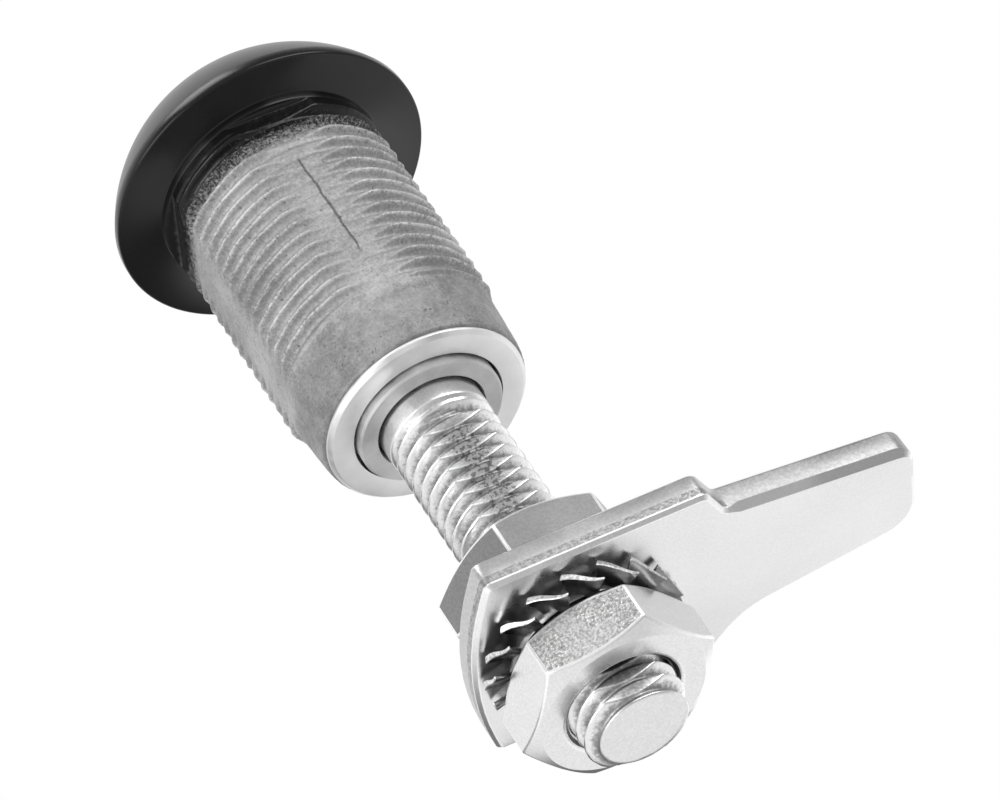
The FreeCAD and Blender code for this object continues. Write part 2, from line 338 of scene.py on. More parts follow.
class Tree:
    """Builds a node tree in plain calls."""

    def __init__(self, tree: bpy.types.NodeTree) -> None:
        """Keeps the tree that the calls fill."""
        self.tree = tree

    def node(self, kind: str, inputs: dict | None = None, **settings: object) -> bpy.types.Node:
        """Adds a node.

        Args:
            kind: The node's type.
            inputs: Values for its inputs, by name or index.
            settings: Values for its properties.

        Returns:
            The node.
        """
        node = self.tree.nodes.new(kind)
        for key, value in settings.items():
            setattr(node, key, value)
        for key, value in (inputs or {}).items():
            self.put(node.inputs[key], value)
        return node

    def out(self, kind: str, inputs: dict | None = None, pick: int | str = 0, **settings: object) -> Value:
        """Adds a node and picks one of its outputs, by name or index."""
        return Value(self, self.node(kind, inputs, **settings).outputs[pick])

    def put(self, socket: bpy.types.NodeSocket, value: object) -> None:
        """Links a value to the input, or sets the input to plain data."""
        if isinstance(value, Value):
            self.tree.links.new(value.socket, socket)
        else:
            socket.default_value = value

    def math(self, operation: str, *values: Number) -> Value:
        """The result of a Math node's operation on these numbers."""
        return self.out("ShaderNodeMath", dict(enumerate(values)), operation=operation)

    def most(self, first: Number, *others: Number) -> Number:
        """The largest of several numbers."""
        for other in others:
            first = self.math("MAXIMUM", first, other)
        return first

    def ramp(self, value: Value, low: Number, high: Number, out: Point = (0, 1), smooth: bool = True) -> Value:
        """Maps a value from low and high onto the two ends of out, with no overshoot, and eased if smooth."""
        return self.out("ShaderNodeMapRange", {
            "Value": value, "From Min": low, "From Max": high, "To Min": out[0], "To Max": out[1],
        }, interpolation_type="SMOOTHSTEP" if smooth else "LINEAR")

    def split(self, vector: Value, scale: float = 1) -> list[Value]:
        """The X, Y and Z of a vector, each multiplied by the scale."""
        parts = [Value(self, part) for part in self.node("ShaderNodeSeparateXYZ", {0: vector}).outputs]
        return parts if scale == 1 else [part * scale for part in parts]

    def radius(self, x: Value, z: Value) -> Value:
        """Distance from the latch's axis."""
        return self.math("SQRT", x * x + z * z)

    def noise(self, vector: Value, scale: float, detail: float, rough: float, seed: Number) -> Value:
        """Smooth noise from 0 to 1, with scale features in a metre and detail octaves of falling strength."""
        return self.out("ShaderNodeTexNoise", noise_dimensions="4D", inputs={
            "Vector": vector, "W": seed, "Scale": scale, "Detail": detail, "Roughness": rough,
        })


class GeometryTree(Tree):
    """A Geometry Nodes tree with named inputs that ends in a material."""

    def __init__(self, name: str, inputs: Iterable[str], kind: str = "NodeSocketFloat") -> None:
        """Makes the tree and its inputs.

        Args:
            name: The tree's name.
            inputs: Each input's name.
            kind: Their type.
        """
        super().__init__(bpy.data.node_groups.new(name, "GeometryNodeTree"))
        face = self.tree.interface
        face.new_socket("Geometry", in_out="INPUT", socket_type="NodeSocketGeometry")
        for label in inputs:
            face.new_socket(label, in_out="INPUT", socket_type=kind)
        face.new_socket("Material", in_out="INPUT", socket_type="NodeSocketMaterial")
        face.new_socket("Geometry", in_out="OUTPUT", socket_type="NodeSocketGeometry")
        self.source = {socket.name: Value(self, socket) for socket in self.node("NodeGroupInput").outputs}

    def end(self, geometry: Value) -> GeometryTree:
        """Ends the tree in real geometry with its material.

        Args:
            geometry: The last geometry.

        Returns:
            The tree.
        """
        real = self.out("GeometryNodeRealizeInstances", {0: geometry})
        dressed = self.out("GeometryNodeSetMaterial", {"Geometry": real, "Material": self.source["Material"]})
        self.node("NodeGroupOutput", {0: dressed})
        return self

    def run(self, obj: Object, values: dict[str, object]) -> Object:
        """Runs the tree on an object and keeps the plain result.

        Args:
            obj: The object.
            values: The inputs, by their names.

        Returns:
            The same object.
        """
        modifier = obj.modifiers.new(self.tree.name, "NODES")
        modifier.node_group = self.tree
        for item in self.tree.interface.items_tree:
            if item.in_out == "INPUT" and item.name in values:
                modifier[item.identifier] = values[item.name]
        return apply_modifiers(obj)


@dataclass(frozen=True)
class Thread:
    """A screw thread with two or four flats, cut into a turned surface. Its sizes are in millimetres."""

    pitch: float
    root: float
    start: float
    end: float
    run_out: float
    crest_share: float
    root_share: float
    hollow: float
    flat_z: float
    flat_start: float
    edge: float
    cast_skin: float
    seed: float
    flat_x: float = FAR
    phase: float = 0.0
    seam: float = 0.0


def thread_tree() -> GeometryTree:
    """A tree that cuts a thread and its flats.

    Returns:
        The tree. Its inputs are the fields of Thread.
    """
    tree = GeometryTree("cut thread and flats", (size.name for size in fields(Thread)))
    s = tree.source
    place = tree.out("GeometryNodeInputPosition")
    x, y, z = tree.split(place, 1 / MM)
    radius = tree.radius(x, z)
    angle = tree.math("ARCTAN2", x, z)
    turn = y / s["pitch"] - angle / TAU + s["phase"]
    wave = abs(tree.math("FRACT", turn) - 0.5) * 2
    slope = tree.ramp(wave, s["crest_share"], 1 - s["root_share"], (1, 0), False)
    cut = 1 - tree.math("POWER", slope, s["hollow"])
    rise = tree.ramp(y, s["start"], s["start"] + s["run_out"])
    fall = tree.ramp(y, s["end"] - s["run_out"], s["end"], (1, 0))
    threaded = radius - tree.most(radius - s["root"], 0) * (cut * rise * fall)
    beside = s["flat_x"] / tree.most(abs(tree.math("SINE", angle)), 0.02)
    over = s["flat_z"] / tree.most(abs(tree.math("COSINE", angle)), 0.02)
    before_flats = tree.math("LESS_THAN", y, s["flat_start"]) * FAR
    flats = tree.math("MINIMUM", beside, over) + before_flats
    shaped = tree.math("SMOOTH_MIN", threaded, flats, s["edge"])
    coarse = tree.noise(place, 420, 3, 0.6, s["seed"]) - 0.5
    fine = tree.noise(place, 2600, 2, 0.5, s["seed"]) - 0.5
    near_seam = tree.ramp(abs(x + coarse * SEAM_WOBBLE), 0.0, SEAM_HALF, (1, 0))
    seam_span = tree.ramp(y, *SEAM_START) * tree.ramp(y, *SEAM_END, (1, 0))
    seam = near_seam * seam_span * tree.math("GREATER_THAN", z, 0)
    cast = shaped + (coarse + fine * 0.5) * s["cast_skin"] - seam * s["seam"]
    outer = tree.out("GeometryNodeInputNamedAttribute", {"Name": OUTER}, data_type="FLOAT")
    share = (cast / tree.most(radius, 0.1) - 1) * outer
    px, _, pz = tree.split(place)
    offset = tree.out("ShaderNodeCombineXYZ", {0: px * share, 2: pz * share})
    return tree.end(tree.out("GeometryNodeSetPosition", {"Geometry": s["Geometry"], "Offset": offset}))


def ring_tree() -> GeometryTree:
    """A tree that repeats a piece at equal angles round the latch's axis.

    Returns:
        The tree. Its count is the number of copies.
    """
    tree = GeometryTree("repeat round the axis", ["count"], "NodeSocketInt")
    s = tree.source
    angle = tree.out("GeometryNodeInputIndex") * TAU / s["count"]
    return tree.end(tree.out("GeometryNodeInstanceOnPoints", {
        "Points": tree.out("GeometryNodePoints", {"Count": s["count"]}), "Instance": s["Geometry"],
        "Rotation": tree.out("ShaderNodeCombineXYZ", {1: angle}),
    }))


def coil_tree() -> GeometryTree:
    """A tree that sweeps a round wire along a helix about the latch's axis.

    Returns:
        The tree. Its sizes are in metres.
    """
    tree = GeometryTree("coil a wire", ["turns", "radius", "height", "wire", "base"])
    s = tree.source
    helix = tree.out("GeometryNodeCurveSpiral", {
        "Resolution": 28, "Rotations": s["turns"], "Start Radius": s["radius"], "End Radius": s["radius"],
        "Height": s["height"],
    })
    section = tree.out("GeometryNodeCurvePrimitiveCircle", {"Resolution": 12, "Radius": s["wire"]})
    wire = tree.out("GeometryNodeCurveToMesh", {"Curve": helix, "Profile Curve": section, "Fill Caps": True})
    base = tree.out("ShaderNodeCombineXYZ", {1: s["base"]})
    return tree.end(tree.out("GeometryNodeTransform", {
        "Geometry": wire, "Translation": base, "Rotation": (-math.pi / 2, 0, 0),
    }))


# Finishes


class Shader(Tree):
    """A material's tree with a Principled shader and Object coordinates."""

    def __init__(self, name: str) -> None:
        """Makes the material.

        Args:
            name: The material's name.
        """
        self.material = bpy.data.materials.new(name)
        self.material.use_nodes = True
        super().__init__(self.material.node_tree)
        self.surface = self.tree.nodes["Principled BSDF"]
        self.place = self.out("ShaderNodeTexCoord", pick="Object")

    def set(self, **values: object) -> None:
        """Sets or links the shader's inputs, where an underscore in a name stands for a space."""
        for key, value in values.items():
            self.put(self.surface.inputs[key.replace("_", " ")], value)

    def blend(self, share: Number, a: object, b: object) -> Value:
        """A colour between a, which a share of 0 gives, and b, which 1 gives."""
        return self.out("ShaderNodeMix", {0: share, 6: a, 7: b}, 2, data_type="RGBA")

    def bump(self, height: Value, depth: float) -> None:
        """Gives the surface relief, this deep in metres where the height is 1."""
        relief = self.out("ShaderNodeBump", {"Height": height, "Distance": depth, "Strength": 1.0})
        self.put(self.surface.inputs["Normal"], relief)


def grey(value: float) -> tuple[float, float, float, float]:
    """A grey in linear light."""
    return (value, value, value, 1.0)


BLACK, WHITE = grey(0.0), grey(1.0)


@dataclass(frozen=True)
class CastPaint:
    """Die-cast zinc whose head is painted satin black, with a speckled edge to the paint."""

    name: str = "painted_casting"
    paint: float = 0.006
    flange_rough: float = 0.22
    flange_gloss: float = 0.31
    dome_rough: float = 0.3
    dome_gloss: float = 0.7
    dome_y: Point = (-0.9, -0.3)
    paint_edge_y: Point = (3.1, 5.1)
    paint_spread: float = 11.2
    zinc_dark: float = 0.22
    zinc_light: float = 0.42
    zinc_rough: float = 0.52
    zinc_metal: float = 0.35
    # Lighter thread crests: partly rubbed wear, partly painted highlight
    crest_tone: float = 0.66
    crest_radius: Point = (10.42, 10.87)
    rubbed_and_highlight_y: Point = (4, 6)
    pits: Point = (0.27, 0.36)
    pit_tone: float = 0.45
    seam_tone: float = 0.35
    seam_width: Point = (0.055, 0.176)
    seam_start: Point = (6.5, 8.0)
    seam_end: Point = (19.0, 21.0)
    seam_wobble: float = 0.6
    patch: Point = (1.0, 1.25)
    fleck: Point = (0.84, 1.1)
    tail_y: Point = (24.6, 26.1)
    tail_tone: float = 0.68
    relief: float = 0.00005

    def build(self) -> Material:
        """Makes the material.

        Returns:
            The material.
        """
        s = Shader(self.name)
        x, y, z = s.split(s.place, 1 / MM)
        blot = s.noise(s.place, 3400, 6, 0.85, 3.0)
        cloud = s.noise(s.place, 150, 5, 0.65, 1.0)
        grain = s.noise(s.place, 3600, 3, 0.7, 5.0)
        bare = s.ramp(y + (blot - 0.5) * self.paint_spread, *self.paint_edge_y)
        tone = cloud * 0.5 + grain * 0.5
        pits = s.ramp(s.noise(s.place, 2600, 2, 0.5, 8.0), *self.pits)
        darker_zinc = s.blend(s.ramp(tone, 0.36, 0.64), grey(self.zinc_dark), grey(self.zinc_light))
        # The barrel's thread crests are lighter: partly rubbed wear, partly painted highlight.
        rubbed_and_highlight = s.ramp(s.radius(x, z), *self.crest_radius) * s.ramp(tone, 0.4, 0.6) * s.ramp(y, *self.rubbed_and_highlight_y)
        zinc = s.blend(rubbed_and_highlight, darker_zinc, grey(self.crest_tone))
        wobble = (s.noise(s.place, 420, 3, 0.6, 4.0) - 0.5) * self.seam_wobble
        beyond = s.most(s.ramp(y, *self.seam_start, (1, 0)), s.ramp(y, *self.seam_end), s.math("LESS_THAN", z, 0))
        whole = s.most(s.ramp(abs(x + wobble), *self.seam_width), beyond)
        sound = s.ramp(pits, 0, 1, (self.pit_tone, 1)) * s.ramp(whole, 0, 1, (self.seam_tone, 1))
        patch = s.ramp(s.noise(s.place, 75, 3, 0.6, 14.0), 0.35, 0.65, self.patch)
        fleck = s.ramp(s.noise(s.place, 900, 4, 0.7, 15.0), 0.35, 0.65, self.fleck)
        worn = s.blend(sound * (s.ramp(y, *self.tail_y, (1.0, self.tail_tone)) * (patch * fleck)), BLACK, zinc)
        s.set(
            Base_Color=s.blend(bare, grey(self.paint), worn),
            Metallic=bare * self.zinc_metal,
            Roughness=s.most(s.ramp(y, *self.dome_y, (self.dome_rough, self.flange_rough)), bare * self.zinc_rough),
            Specular_IOR_Level=s.most(s.ramp(y, *self.dome_y, (self.dome_gloss, self.flange_gloss)), bare * 0.5),
        )
        s.bump((grain * 0.6 + pits * 0.4) * s.ramp(bare, 0, 1, (0.12, 1.0), False), self.relief)
        return s.material


@dataclass(frozen=True)
class PlatedSteel:
    """Bright zinc plating on a smooth or a rougher steel face."""

    name: str
    tone: float
    rough: float
    cloud: float = 0.05
    grain: float = 0.1
    grain_scale: float = 4200
    relief: float = 0.000003

    def build(self) -> Material:
        """Makes the material.

        Returns:
            The material.
        """
        s = Shader(self.name)
        cloud = s.ramp(s.noise(s.place, 110, 3, 0.5, 2.0), 0.3, 0.7, (-self.cloud, self.cloud))
        speck = s.noise(s.place, self.grain_scale, 3, 0.65, 6.0)
        grain = s.ramp(speck, 0.35, 0.65, (-self.grain, self.grain))
        s.set(
            Base_Color=s.blend((cloud + grain + 1.0) * self.tone, BLACK, WHITE),
            Metallic=1.0,
            Roughness=s.ramp(cloud, -self.cloud, self.cloud, (self.rough * 0.85, self.rough * 1.15)),
        )
        s.bump(speck, self.relief)
        return s.material


@dataclass(frozen=True)
class ThreadSteel:
    """Bright zinc plating on a thread, mottled and darker in its depths as painted shade, and darker in blotches along
    the middle of its flats.
    """

    name: str = "plated_thread"
    tone: float = 0.86
    depth_shade_tone: float = 0.3
    rough: float = 0.3
    depths: Point = (3.85, 4.6)
    mottle: float = 1.6
    face_y: Point = (70.7, 70.9)
    face_share: float = 0.85
    flat_darkening_tone: float = 0.22
    flat_darkening_x: Point = (0.9, 2.4)
    flat_darkening_start: Point = (36.0, 38.0)
    stain_end: Point = (50.0, 52.0)
    relief: float = 0.000012

    def build(self) -> Material:
        """Makes the material.

        Returns:
            The material.
        """
        s = Shader(self.name)
        x, y, z = s.split(s.place, 1 / MM)
        blot = s.noise(s.place, 2300, 4, 0.7, 12.0)
        speck = s.noise(s.place, 4500, 3, 0.65, 6.0)
        mottled = s.radius(x, z) + (blot - 0.5) * self.mottle
        # Darker towards the root of the thread, as painted shade in its grooves; the end face is lifted to most of the
        # full tone.
        height = s.most(s.ramp(mottled, *self.depths), s.ramp(y, *self.face_y, (0, self.face_share)))
        # Darker blotches along the middle of the flats, from 36 to 52 mm along the axis.
        span = s.ramp(y, *self.flat_darkening_start) * s.ramp(y, *self.stain_end, (1, 0))
        flat_darkening = s.ramp(abs(x), *self.flat_darkening_x, (1, 0)) * s.ramp(blot, 0.45, 0.6) * span
        light = s.ramp(flat_darkening, 0, 1, (1, self.flat_darkening_tone)) * s.ramp(speck, 0.3, 0.7, (0.92, 1.08))
        s.set(
            Base_Color=s.blend(s.ramp(height, 0, 1, (self.depth_shade_tone, self.tone), False) * light, BLACK, WHITE),
            Metallic=1.0,
            Roughness=s.ramp(height, 0, 1, (self.rough * 1.5, self.rough)),
        )
        s.bump(speck + blot, self.relief)
        return s.material


@dataclass(frozen=True)
class TurnedSteel:
    """Turned metal with fine rings round the latch's axis."""

    name: str
    tone: float
    rough: float
    ring_pitch: float = 0.12
    ring_depth: float = 0.0000015
    cloud: float = 0.08

    def build(self) -> Material:
        """Makes the material.

        Returns:
            The material.
        """
        s = Shader(self.name)
        x, _, z = s.split(s.place)
        turns = s.radius(x, z) / (self.ring_pitch * MM) + s.noise(s.place, 350, 2, 0.5, 4.0) * 0.6
        cloud = s.noise(s.place, 220, 4, 0.6, 7.0)
        light = min(1.0, self.tone * (1 + self.cloud))
        s.set(
            Base_Color=s.blend(s.ramp(cloud, 0.3, 0.7), grey(self.tone * (1 - self.cloud)), grey(light)),
            Metallic=1.0,
            Roughness=s.ramp(cloud, 0.3, 0.7, (self.rough * 0.8, self.rough * 1.25)),
        )
        s.bump(s.math("SINE", turns * TAU) * 0.5 + 0.5, self.ring_depth)
        return s.material


@dataclass(frozen=True)
class DarkMoulding:
    """Satin black paint, or matt rubber."""

    name: str
    tone: float = 0.014
    rough: float = 0.4
    gloss: float = 0.35
    relief: float = 0.000004

    def build(self) -> Material:
        """Makes the material.

        Returns:
            The material.
        """
        s = Shader(self.name)
        cloud = s.noise(s.place, 200, 3, 0.5, 11.0)
        s.set(
            Base_Color=s.blend(cloud, grey(self.tone * 0.8), grey(self.tone * 1.2)),
            Roughness=s.ramp(cloud, 0.3, 0.7, (self.rough * 0.9, self.rough * 1.1)),
            Specular_IOR_Level=self.gloss,
        )
        s.bump(s.noise(s.place, 1400, 3, 0.5, 9.0), self.relief)
        return s.material


# Pieces


@dataclass
class Piece:
    """What a finished object rides on, the slot named for it and what it stands for."""

    body: Body
    slot: Slot
    replaces: tuple[str, ...] = ()

    def settle(self, obj: Object, *finishes: Material) -> None:
        """Attaches the finished object to its body and hides the nodes that it stands for.

        Args:
            obj: The finished object.
            finishes: Materials to add to it, if it has none yet.
        """
        for finish in finishes:
            obj.data.materials.append(finish)
        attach(obj, self.body.value)
        if self.replaces:
            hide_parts(*self.replaces)
        LOG.info("%s: %d faces on %s", obj.name, len(obj.data.polygons), self.body.value)


@dataclass
class Housing:
    """The casting: its domed head, and its barrel with a moulded thread and four flats."""

    flange_radius: float = 15.1
    flange_edge: float = 0.8
    rim_round: float = 0.2
    dome_radius: float = 16.3
    head_height: float = 8.2
    crown_radius: float = 9.44
    crown_drop: float = 0.09
    flat_radius: float = 8.69
    front_hole: float = 7.05
    hole_break: float = 0.15
    shoulder_y: float = -4.0
    bore: float = 8.3
    bore_break: float = 0.2
    boss: float = 0.9
    barrel_radius: float = 10.87
    thread_end: float = 25.1
    thread_drop: float = 0.55
    tail_high: float = 10.2
    tail_taper: float = 0.4
    tail_round: float = 0.4
    length: float = 31.3
    head_segments: int = 192
    segments: int = 360
    row_step: float = 0.115
    tail_step: float = 0.45
    thread: Thread = Thread(
        pitch=1.53, phase=0.2, root=10.02, start=1.6, end=25.3, run_out=1.0, crest_share=0.04, root_share=0.0,
        hollow=2.3, flat_x=9.8, flat_z=10.1, flat_start=0.92, edge=0.2, cast_skin=0.2, seam=0.14, seed=4.0,
    )
    finish: CastPaint = CastPaint()

    def dome(self, steps: int = 18) -> list[Point]:
        """Points down the dome, from the front flat's edge to the rim.

        Args:
            steps: Points less one.

        Returns:
            The points as (radius, y).
        """
        centre = -self.flange_edge + math.sqrt(self.dome_radius ** 2 - self.flange_radius ** 2)
        first = math.asin(self.crown_radius / self.dome_radius)
        last = math.asin(self.flange_radius / self.dome_radius)
        angles = [first + (last - first) * k / steps for k in range(steps + 1)]
        return [(self.dome_radius * math.sin(a), centre - self.dome_radius * math.cos(a)) for a in angles]

    def head(self) -> Object:
        """Makes the head and flange, with the short round boss behind it.

        Returns:
            The object.
        """
        face = -self.head_height
        front = [(self.front_hole, self.shoulder_y), (self.front_hole, face + self.hole_break),
                 (self.front_hole + self.hole_break, face), (self.flat_radius, face),
                 (self.crown_radius - 0.3, face + self.crown_drop)]
        rim = [(self.flange_radius - self.rim_round * inset, -self.rim_round * drop) for inset, drop in quarter(4)]
        boss = [(self.barrel_radius + 0.12, 0.0), (self.barrel_radius, 0.1), (self.barrel_radius, self.boss - 0.05),
                (self.barrel_radius - 0.05, self.boss), (self.bore, self.boss), (self.bore, self.shoulder_y)]
        return make_object("head", lathe(front + self.dome() + rim + boss, self.head_segments), 50)

    def tail_radius(self, y: float) -> float:
        """Radius of the barrel before its thread and flats are cut.

        Args:
            y: Place along the axis.

        Returns:
            The radius.
        """
        past = y - self.thread_end
        if past > 0:
            return self.tail_high - self.tail_taper * past / (self.length - self.thread_end)
        return self.barrel_radius - (self.barrel_radius - self.tail_high) * max(0.0, past / self.thread_drop + 1)

    def barrel(self, tree: GeometryTree, material: Material) -> Object:
        """Makes the threaded barrel and its smooth tail.

        Args:
            tree: The thread tree.
            material: The finish.

        Returns:
            The object.
        """
        last = self.thread_end + 0.4
        rows = round((last - self.boss) / self.row_step)
        heights = [self.boss + (last - self.boss) * k / rows for k in range(rows + 1)]
        heights += [last + 0.4 + self.tail_step * k for k in range(11)]
        outer = [(self.tail_radius(y), y) for y in heights]
        tail = self.tail_radius(self.length)
        outer += [(tail - self.tail_round * inset, self.length - self.tail_round * drop) for inset, drop in quarter(5)]
        inner = [(self.bore + self.bore_break, self.length), (self.bore, self.length - self.bore_break),
                 (self.bore, self.boss)]
        bm = lathe(outer + inner, self.segments)
        mark_outer(bm, self.bore + 0.5)
        return tree.run(make_object("barrel", bm, 60), {**asdict(self.thread), "Material": material})

    def build(self, tree: GeometryTree) -> None:
        """Makes the head and the barrel.

        Args:
            tree: The thread tree.
        """
        material = self.finish.build()
        Piece(Body.HOUSING, Slot.PAINT, ("housing",)).settle(self.head(), material)
        Piece(Body.HOUSING, Slot.ZINC).settle(self.barrel(tree, material))


@dataclass
class EndRing:
    """The bright ring pressed into the end of the barrel."""

    radius: float = 9.54
    inner: float = 7.14
    seat_y: float = 31.3
    thickness: float = 0.63
    chamfer: float = 0.35
    skirt_radius: float = 8.29
    skirt: float = 2.0
    finish: TurnedSteel = TurnedSteel("turned_ring", 0.84, 0.44)

    def build(self) -> None:
        """Makes the ring with its chamfer, lip and skirt."""
        top = self.seat_y + self.thickness
        outline = rounded([
            (self.inner, self.seat_y - self.skirt, 0.1),
            (self.skirt_radius, self.seat_y - self.skirt, 0.2),
            (self.skirt_radius, self.seat_y, 0),
            (self.radius, self.seat_y, 0.05),
            (self.radius, top - self.chamfer, 0.05),
            (self.radius - self.chamfer, top, 0.06),
            (self.inner, top, 0.06),
        ], 3)
        obj = make_object("pressed_ring", lathe(outline, 192), 60)
        Piece(Body.HOUSING, Slot.BRIGHT, ("end_ring",)).settle(obj, self.finish.build())


@dataclass
class Stud:
    """The threaded shaft with two flats."""

    radius: float = 4.89
    start_y: float = 19.0
    rows_y: float = 33.3
    end_y: float = 71.0
    chamfer: float = 0.65
    segments: int = 240
    row_step: float = 0.105
    thread: Thread = Thread(
        pitch=1.5, root=3.84, start=34.3, end=73.0, run_out=0.9, crest_share=0.06, root_share=0.12, hollow=1.15,
        flat_z=3.98, flat_start=35.6, edge=0.03, cast_skin=0.04, seed=2.0,
    )
    finish: ThreadSteel = ThreadSteel()

    def build(self, tree: GeometryTree) -> None:
        """Makes the shaft, its thread and its flats.

        Args:
            tree: The thread tree.
        """
        last = self.end_y - self.chamfer
        rows = round((last - self.rows_y) / self.row_step)
        outline = [(0.0, self.start_y), (self.radius - 0.3, self.start_y)]
        outline += [(self.radius, y) for y in (self.start_y + 0.3, 25.0, 31.0)]
        outline += [(self.radius, self.rows_y + (last - self.rows_y) * k / rows) for k in range(rows + 1)]
        outline += [(self.radius - self.chamfer * k / 6, last + self.chamfer * k / 6) for k in range(1, 7)]
        outline += [(self.thread.root - 0.3, self.end_y), (2.6, self.end_y), (0.0, self.end_y)]
        bm = lathe(outline, self.segments)
        mark_outer(bm, self.thread.root)
        obj = make_object("threaded_shaft", bm, 60)
        tree.run(obj, {**asdict(self.thread), "Material": self.finish.build()})
        Piece(Body.STUD, Slot.STUD, ("stud",)).settle(obj)


@dataclass
class Nut:
    """A jam nut, chamfered on both faces."""

    name: str
    low_y: float
    corner_angle: float
    rough_facet: int = -1
    across_flats: float = 16.0
    thickness: float = 5.6
    face_radius: float = 7.55
    chamfer_angle: float = 30.0
    bore: float = 4.91
    mouth: float = 0.55
    segments: int = 144

    def section(self, angle: float) -> list[Point]:
        """The nut's half section at this angle, as (radius, y) points.

        Args:
            angle: The angle from +Z, in degrees.

        Returns:
            The points, from the bore over the near face and the side to the far face.
        """
        slope = math.tan(math.radians(self.chamfer_angle))
        from_middle = (angle - self.corner_angle) % 60 - 30
        side = self.across_flats / 2 / math.cos(math.radians(from_middle))
        middle = (side + self.face_radius) / 2
        depths = [(self.bore, self.mouth), (self.bore + self.mouth, 0), (self.face_radius, 0)]
        depths += [(radius, (radius - self.face_radius) * slope) for radius in (middle, side)]
        near = [(radius, self.low_y + depth) for radius, depth in depths]
        waist = [(side, self.low_y + self.thickness * share) for share in (0.4, 0.6)]
        return near + waist + [(radius, self.low_y + self.thickness - depth) for radius, depth in reversed(depths)]

    def build(self, faces: Material, rough: Material, edges: Material,
              bore: Material) -> None:
        """Makes the nut.

        Args:
            faces: The plating of its faces.
            rough: The plating of the facet that was left rough.
            edges: The brighter plating on its rounded edges, partly rubbed wear and partly painted highlight.
            bore: The darker plating in its bore and mouths, painted shade.
        """
        bm = bmesh.new()
        angles = [self.corner_angle + 360 * k / self.segments for k in range(self.segments)]
        rows = zip(*(self.section(angle) for angle in angles))
        rings = [[bm.verts.new(polar(radius, angle, y)) for angle, (radius, y) in zip(angles, row)] for row in rows]
        # Material 1 goes on the rough facet; material 3, on the mouths and the bore, is darker as painted shade.
        for row, k, face in skin(bm, rings, True):
            if row in (4, 5, 6) and 6 * k // self.segments == self.rough_facet:
                face.material_index = 1
            elif row in (0, 10, 11):
                face.material_index = 3
        clean(bm)
        obj = make_object(f"jam_{self.name}", bm, 20)
        for material in (faces, rough, edges, bore):
            obj.data.materials.append(material)
        # The rounded edges take material 2, the brighter plating: partly rubbed wear, partly painted highlight.
        bevel(obj, 0.2, 3, 36, 2)
        Piece(Body.STUD, Slot.NUTS, (self.name,)).settle(obj)


